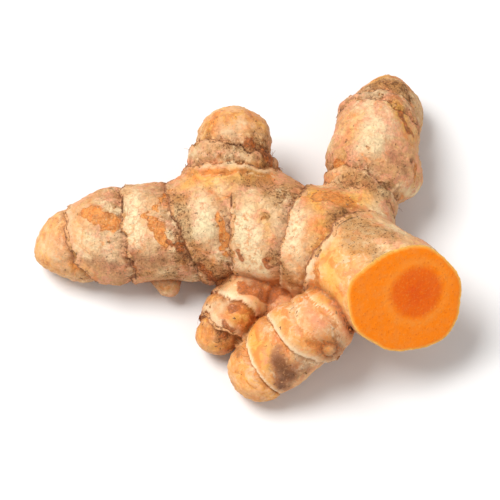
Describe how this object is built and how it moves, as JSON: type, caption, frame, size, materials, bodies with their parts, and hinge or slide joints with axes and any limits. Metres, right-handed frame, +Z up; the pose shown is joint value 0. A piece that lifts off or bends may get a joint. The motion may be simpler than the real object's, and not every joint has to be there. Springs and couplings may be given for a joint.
{
  "type": "turmeric rhizome",
  "caption": "Fresh turmeric rhizome with a ringed trunk, a knob, a hooked finger, stubby side shoots and a flat knife-cut end, lying on a surface.",
  "frame": {"origin": "on the surface that the rhizome rests on, under the middle of its bounding box", "axes": "+X from the growing tip towards the cut end, +Y towards the knob and the hooked finger, +Z up"},
  "size_m": [0.0936, 0.0772, 0.0309],
  "materials": {
    "skin": "matte",
    "cut_flesh": "satin"
  },
  "bodies": {
    "root": {"turmeric_root": "skin"}
  },
  "joints": []
}
